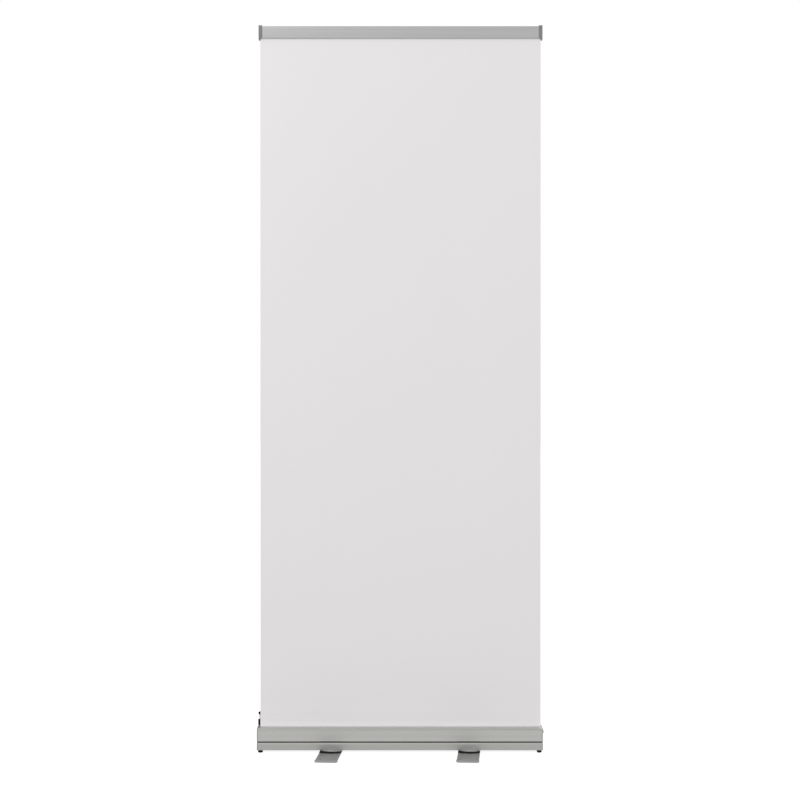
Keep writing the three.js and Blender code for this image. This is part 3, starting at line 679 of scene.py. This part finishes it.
def build_locks():
    here = (PLUNGER_X, 0)
    barrel = [
        (2.1, 65, 0.2),
        (2.7, 65, 0.2),
        (2.7, 71.3, 0),
        (5.2, 71.3, 0.4),
        (5.2, 74.6, 0.2),
        (4.7, 75.0, 0.2),
        (4.7, 75.6, 0.2),
        (5.2, 76.0, 0.2),
        (5.2, 87.2, 0.3),
        (4.2, 88.2, 0.3),
        (2.1, 88.2, 0.2),
    ]
    pin = [
        (0, 58.6, 0),
        (1.3, 58.6, 0.2),
        (1.8, 59.4, 0.2),
        (1.8, 94.5, 0),
        (3.4, 94.5, 0.4),
        (3.4, 101.2, 0.3),
        (0, 101.2, 0),
    ]
    ball_radius, knob_bottom = 4.6, 101.5
    angles = [-0.942 + 0.157 * k for k in range(16)]
    ball = [(ball_radius * math.cos(a), knob_bottom + ball_radius * (0.809 + math.sin(a)), 0) for a in angles]
    knob = [(0, knob_bottom, 0), *ball, (0, 109.82, 0)]
    piece(hex_nut(10, 3.0, 69.3, 71, here), "lock_plunger_nut", "cassette", "steel")
    piece(turned("barrel", barrel, centre=here, segments=40), "lock_plunger_barrel", "cassette", "black")
    piece(turned("pin", pin, centre=here, segments=32), "lock_plunger_pin", "lock_plunger", "steel")
    piece(turned("knob", knob, centre=here, segments=40), "lock_plunger_knob", "lock_plunger", "black")

    retainer = [
        (0, 404.3, 0),
        (1.6, 404.3, 0.2),
        (2, 404.9, 0.2),
        (2, 408.3, 0),
        (3.8, 408.3, 0.3),
        (3.8, 412.3, 0.3),
        (3.1, 413, 0.3),
        (0, 413, 0),
    ]

    def knurl(radius, height, angle):
        """Straight knurling round the pin's head."""
        deep, teeth, smooth = 0.18, 24, 3.3
        return radius - deep * (0.5 - 0.5 * math.cos(teeth * angle)) if radius > smooth else radius

    made = turned("retainer", retainer, "X", (PIN_Y, PIN_Z), 144, knurl)
    piece(made, "retaining_pin", "side_pin", "steel")


# ------------------------------------------------------------------ pole


def lock_profile(outer, sliding, top):
    """A collar round the top of a tube of radius outer, and round the narrower tube that slides in it."""
    return [
        (outer + GAP, top - 20, 0.3),
        (outer + 2.4, top - 20, 0.5),
        (outer + 3.2, top - 16, 0.8),
        (outer + 3.2, top + 6, 1.0),
        (outer + 1.4, top + 16, 0.8),
        (sliding + GAP, top + 16, 0.3),
        (sliding + GAP, top + GAP, 0),
        (outer + GAP, top + GAP, 0),
    ]


def ridged(outer):
    """Grip ridges round the wide middle of a twist lock."""

    def shape(radius, height, angle):
        deep, ridges, smooth = 0.7, 18, outer + 2.9
        if radius < smooth:
            return radius
        return radius - deep * (0.5 - 0.5 * math.cos(ridges * angle)) ** 2

    return shape


def build_pole():
    centre = (CENTRE_X, POLE_Y)
    holder = [
        (0, 16, 0),
        (10, 16, 0.8),
        (10, 69.3, 0),
        (11.4, 69.3, 0.3),
        (11.4, 71.3, 0.6),
        (8.8, 71.3, 0.6),
        (8.8, 17.8, 0.5),
        (0, 17.8, 0),
    ]
    piece(turned("socket", holder, centre=centre, segments=64), "pole_socket", "cassette", "black")
    for name, (outer, inner, bottom, top) in TUBES.items():
        tube = turned("tube", pipe(outer, inner, bottom, top, 0.35), centre=centre, segments=64)
        node = f"pole_tube_{name}"
        piece(tube, node, body_of(node), "pole")
    for name, below, above in (("lower", "lower", "middle"), ("upper", "middle", "upper")):
        outer, top = TUBES[below][0], TUBES[below][3]
        profile = lock_profile(outer, TUBES[above][0], top)
        lock = turned("lock", profile, centre=centre, segments=144, shape=ridged(outer), steps=4)
        node = f"twist_lock_{name}"
        piece(lock, node, body_of(node), "black")
    piece(build_pole_head(centre), "pole_head_hook", body_of("pole_head_hook"), "black")


def build_pole_head(centre):
    """A sleeve over the upper tube, an arm forward from it and the upright tongue that enters the rail."""
    sleeve = [
        (0, 2040.3, 0),
        (6.3, 2040.3, 0),
        (6.3, 2022, 0.2),
        (8.4, 2022, 0.5),
        (8.4, 2044, 1.0),
        (6, 2046.5, 0.8),
        (0, 2046.5, 0),
    ]
    head = turned("head", sleeve, centre=centre, segments=64)
    arm = box("arm", (CENTRE_X - 8, -10.1, 2035), (CENTRE_X + 8, 20.5, 2041), 0.8)
    tongue = box("tongue", (CENTRE_X - 12, -10.1, 2035), (CENTRE_X + 12, -6.7, 2054.2), 0.8)
    return combined(head, [arm, tongue], "UNION")


# ------------------------------------------------------------------ rail


def back_channel():
    """The rail's back, with a pocket for the pole's hook and a hinge barrel at its top."""
    bottom = RAIL_BOTTOM + 0.5
    return rounded(
        [
            (-12.9, bottom, 0.5),
            (-11.1, bottom, 0.5),
            (-11.1, 2054.5, 0.4),
            (-5.7, 2054.5, 0.4),
            (-5.7, 2042, 0.4),
            (-4.1, 2042, 0.4),
            (-4.1, 2056.1, 0.8),
            (-11.1, 2056.1, 0.4),
            *arc(HINGE_Y, HINGE_Z, 3.2, -64.06, 110, 24),
            *arc(HINGE_Y, HINGE_Z, 1.95, 110, -148, 28),
            *arc(HINGE_Y, HINGE_Z, 3.2, 212, 262.82, 8),
        ]
    )


def front_jaw():
    """The rail's flat front, which turns on a bead inside the hinge barrel."""
    return rounded(
        [
            (-17.8, RAIL_BOTTOM, 0.7),
            (-16, RAIL_BOTTOM, 0.7),
            (-16, 2062.8, 0.3),
            *arc(HINGE_Y, HINGE_Z, 1.6, -154.06, 154.06, 28),
            (-16, 2064.2, 0.3),
            (-16, 2067.5, 0.5),
            *arc(-16.6, 2066.3, 1.2, 90, 180, 8),
        ]
    )


def gripper():
    """A soft strip whose back is ribbed, so that it holds the graphic."""
    front, crest, valley = -15.7, -14.05, -14.4
    bottom, top = RAIL_BOTTOM + 1, RAIL_BOTTOM + 8
    ribs = []
    for k in range(7):
        z = RAIL_BOTTOM + 1.4 + k * 0.95
        ribs += [(crest, z, 0.12), (crest, z + 0.45, 0.12), (valley, z + 0.6, 0.1), (valley, z + 0.85, 0.1)]
    ends = [(crest, top, 0.1), (front, top, 0.2)]
    return rounded([(front, bottom, 0.2), (crest, bottom, 0.1), *ribs[:-2], *ends], 2)


def cap_outline(lowest):
    low = [(-18.6, lowest, 0.8), (-3.4, lowest, 0.8)]
    return rounded([*low, *arc(-6.4, 2067.7, 3, 0, 90, 8), *arc(-14.6, 2066.7, 4, 90, 180, 8)])


def build_rail_cap():
    """The right end's cap: a plate, a block, a spigot in the pocket and a slot for the graphic's edge."""
    inner = RAIL_RIGHT + GAP
    cap = prism("cap", cap_outline(2028.5), "X", inner + 5.3, inner + 10, 0.6)
    block = prism("block", cap_outline(RAIL_BOTTOM), "X", inner, inner + 6, 0.3)
    spigot = box("spigot", (inner - 8, -10.6, 2044), (inner + 1, -6.2, 2054.2), 0.3)
    combined(cap, [block, spigot], "UNION")
    slot = box("slot", (inner - 1, -14.1, 2027), (inner + 5.2, -12.9, 2060.3))
    return combined(cap, [slot], "DIFFERENCE")


def build_rail():
    channel = prism("channel", back_channel(), "X", RAIL_LEFT, RAIL_RIGHT, 0.15)
    piece(channel, "rail_back_channel", "rail", "rail")
    piece(prism("jaw", front_jaw(), "X", RAIL_LEFT, RAIL_RIGHT, 0.15), "rail_front_jaw", "rail_jaw", "rail")
    piece(prism("strip", gripper(), "X", RAIL_LEFT, RAIL_RIGHT), "rail_gripper_strip", "rail_jaw", "rubber")
    right = build_rail_cap()
    left = mirrored(right, "cap_left", CENTRE_X)
    piece(right, "rail_end_cap_right", "rail", "cap")
    piece(left, "rail_end_cap_left", "rail", "cap")


# ------------------------------------------------------------------ feet


def foot_section():
    """The bar's section: flat, with two main grooves and finer ones beside them on its top."""
    fine, main = (0.35, 0.3), (0.7, 0.7)  # half width and depth
    grooves = []
    for centre, (half, depth) in ((27, fine), (22, main), (17, fine), (-17, fine), (-22, main), (-27, fine)):
        grooves += [
            (centre + half + 0.15, FOOT_TOP, 0.1),
            (centre + half, FOOT_TOP - depth, 0.1),
            (centre - half, FOOT_TOP - depth, 0.1),
            (centre - half - 0.15, FOOT_TOP, 0.1),
        ]
    under = [(-FOOT_HALF, FOOT_UNDER, 0.5), (FOOT_HALF, FOOT_UNDER, 0.5)]
    return rounded([*under, (FOOT_HALF, FOOT_TOP, 0.7), *grooves, (-FOOT_HALF, FOOT_TOP, 0.7)], 2)


def foot_cap(turn):
    """The cap over a bar's end, hollow where the bar enters it."""
    front, back = -FOOT_END, CAP_LENGTH - FOOT_END
    side, corner = CAP_HALF - CAP_ROUND, front + CAP_ROUND
    plan = [
        (CAP_HALF, back, 0.3),
        (-CAP_HALF, back, 0.3),
        *arc(-side, corner, CAP_ROUND, 180, 270, 12),
        *arc(side, corner, CAP_ROUND, 270, 360, 12),
    ]
    cap = prism("cap", rounded(plan), "Z", 0.4, 5.2, 0.7)
    combined(cap, [box("pocket", (-31.3, back - 6.5, 1.1), (31.3, back + 1, 4.5))], "DIFFERENCE")
    cap.data.transform(Matrix.Rotation(turn, 4, "Z"))
    return cap


def bowed_ends(centre, sweep):
    """A plan with a bowed end at front and back, each an arc of sweep degrees to both sides."""
    front = arc(0, -centre, PAD_ROUND, 270 - sweep, 270 + sweep, 24)
    return arc(0, centre, PAD_ROUND, 90 - sweep, 90 + sweep, 24) + front


def build_foot(side, x, turn):
    """A foot's pieces about its pivot; the bolt and the nut belong to the bodies that the CAD gives them."""
    place = Matrix.Translation((x * MM, 0, 0)) @ Matrix.Rotation(math.radians(turn), 4, "Z")
    body = f"foot_{side}"

    def add(obj, node, finish):
        obj.matrix_world = place
        piece(obj, node, body, finish)

    bar_end = FOOT_END - BAR_SHORTER
    bar = prism("bar", foot_section(), "Y", -bar_end, bar_end, 0.2)
    countersink = [(0, 0.4, 0), (6.6, 0.4, 0), (6.6, 1.7, 0), (3.3, 4, 0), (3.3, 5.2, 0), (0, 5.2, 0)]
    add(combined(bar, [turned("hole", countersink)], "DIFFERENCE"), f"foot_bar_{side}", "foot")
    pad = prism("pad", bowed_ends(PAD_CENTRE, 35.8), "Z", PAD_BOTTOM, PAD_TOP, 0.4)
    # A shallow well in its top leaves a black crescent at each end, and is lined with bare metal.
    well = prism("well", bowed_ends(WELL_CENTRE, 38.5), "Z", PAD_WELL, 8)
    cuts = [turned("hole", rod(BOLT_HOLE, 3, 8, 0)), well]
    add(combined(pad, cuts, "DIFFERENCE"), f"foot_swivel_pad_{side}", "black")
    pad.data.materials.append(M["lining"])
    for face in pad.data.polygons:
        if face.normal.z > 0.9 and face.center.z < (PAD_WELL + 0.05) * MM:
            face.material_index = 1
    for end, facing, sign in (("front", 0, -1), ("rear", math.pi, 1)):
        add(foot_cap(facing), f"foot_end_cap_{side}_{end}", "grey")
        disc = turned("disc", rod(9, 0, 1.1, 0.25), centre=(0, sign * (FOOT_END - RUBBER_BACK)))
        add(disc, f"foot_rubber_pad_{side}_{end}", "rubber")
    bolt = [(0, 1.4, 0), (6.3, 1.4, 0.2), (3, 3.7, 0), (3, 17, 0.5), (0, 17, 0)]
    shank = turned("bolt", bolt, centre=(x, 0))
    node = f"foot_pivot_bolt_{side}"
    piece(combined(shank, [hex_socket(x)], "DIFFERENCE"), node, body_of(node), "zinc")
    node = f"foot_pivot_nut_{side}"
    piece(hex_nut(10, 3.3, 8.9, 14.1, (x, 0)), node, body_of(node), "zinc")


def hex_socket(x):
    """The tool that cuts the hexagon recess in a pivot bolt's head."""
    recess = prism("recess", hexagon(4, 0), "Z", 0, 2.6)
    recess.data.transform(Matrix.Translation((x * MM, 0, 0)))
    return recess


# ------------------------------------------------------------------ graphic


def ripple(u, v):
    """How far the film stands off its plane, in millimetres, at a share u of its width and v of its height."""
    hold = math.sin(math.pi * v) ** 0.6 * min(1.0, (1 - v) * 14) * min(1.0, v * 14)
    curl = 2.2 * (abs(2 * u - 1) ** 5)
    broad = noise.noise(Vector((u * 2.3, v * 3.1, 4.7))) * 1.6
    narrow = noise.noise(Vector((u * 5.0, v * 2.2, 9.1))) * 0.5
    return hold * (curl + broad + narrow)


def build_graphic():
    """The film from the roller to the rail, with its front and back as two faces of one thin sheet."""
    across, up = 96, 240
    width, height = GRAPHIC["right"] - GRAPHIC["left"], GRAPHIC["top"] - GRAPHIC["bottom"]
    bm = bmesh.new()
    sides = []
    for offset in (-GRAPHIC["thick"] / 2, GRAPHIC["thick"] / 2):
        rows = []
        for j in range(up + 1):
            v = j / up
            row = []
            for i in range(across + 1):
                u = i / across
                y = GRAPHIC["plane"] + offset + ripple(u, v)
                point = (GRAPHIC["left"] + u * width, y, GRAPHIC["bottom"] + v * height)
                row.append(bm.verts.new([c * MM for c in point]))
            rows.append(row)
        sides.append(rows)
    for rows in sides:
        for low, high in zip(rows, rows[1:]):
            for i in range(across):
                bm.faces.new((low[i], low[i + 1], high[i + 1], high[i]))
    front, back = sides
    for i in range(across):
        bm.faces.new((front[0][i], front[0][i + 1], back[0][i + 1], back[0][i]))
        bm.faces.new((front[up][i], front[up][i + 1], back[up][i + 1], back[up][i]))
    for j in range(up):
        bm.faces.new((front[j][0], front[j + 1][0], back[j + 1][0], back[j][0]))
        bm.faces.new((front[j][across], front[j + 1][across], back[j + 1][across], back[j][across]))
    sheet = new_object("graphic_film_sheet", bm)
    piece(sheet, "graphic_panel", "cassette", "film")
    sheet.data.materials.append(M["film_back"])
    facing_back = 0.5
    for face in sheet.data.polygons:
        if face.normal.y > facing_back:
            face.material_index = 1
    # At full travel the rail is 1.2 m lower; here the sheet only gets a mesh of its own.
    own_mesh(sheet)


# ------------------------------------------------------------------ studio


def build_studio():
    bm = bmesh.new()
    reach = 30
    corners = ((-reach, -reach), (reach, -reach), (reach, reach), (-reach, reach))
    bm.faces.new([bm.verts.new((x, y, 0)) for x, y in corners])
    floor = new_object("studio_floor", bm)
    glow = {"Emission Color": (1, 1, 1, 1), "Emission Strength": 0.84}
    pale = material("pale_floor", (0.21, 0.21, 0.21), 0.0, 0.8, (0.6, 0.6, 0.6), (40, 40, 40), 0.01, **glow)
    floor.data.materials.append(pale)

    world = bpy.data.worlds.new("studio")
    world.use_nodes = True
    socket_values(world.node_tree.nodes["Background"], {"Color": (1, 1, 1, 1), "Strength": 1.0})
    bpy.context.scene.world = world
    for name, place, aim, size, power in (
        ("key", (-2.4, -3.2, 3.4), (0, 0, 1.3), 2.2, 70),
        ("fill", (2.8, -2.6, 2.2), (0, 0, 1.2), 2.5, 18),
        ("rim", (1.2, 3.4, 3.0), (0, 0, 1.0), 2.0, 40),
    ):
        lamp = bpy.data.lights.new(name, "AREA")
        lamp.size = size
        lamp.energy = power
        holder = bpy.data.objects.new(name, lamp)
        bpy.context.scene.collection.objects.link(holder)
        holder.location = place
        holder.rotation_euler = (Vector(aim) - Vector(place)).to_track_quat("-Z", "Y").to_euler()
    bpy.context.scene.view_settings.view_transform = "Standard"


def build_camera():
    """Level, at half the stand's height, and straight in front of it as in the photo."""
    lens = bpy.data.cameras.new("camera")
    lens.lens = 70.93
    lens.sensor_width = 36
    camera = bpy.data.objects.new("camera", lens)
    bpy.context.scene.collection.objects.link(camera)
    camera.location = (0.0005, -4.5135, 1.001)
    camera.rotation_euler = (math.pi / 2, 0, 0)
    bpy.context.scene.camera = camera


build_camera()
build_studio()
build_cassette()
build_roller()
build_locks()
build_pole()
build_rail()
for foot_side, (foot_x, foot_turn) in FEET.items():
    build_foot(foot_side, foot_x, foot_turn)
build_graphic()

bpy.context.view_layer.update()
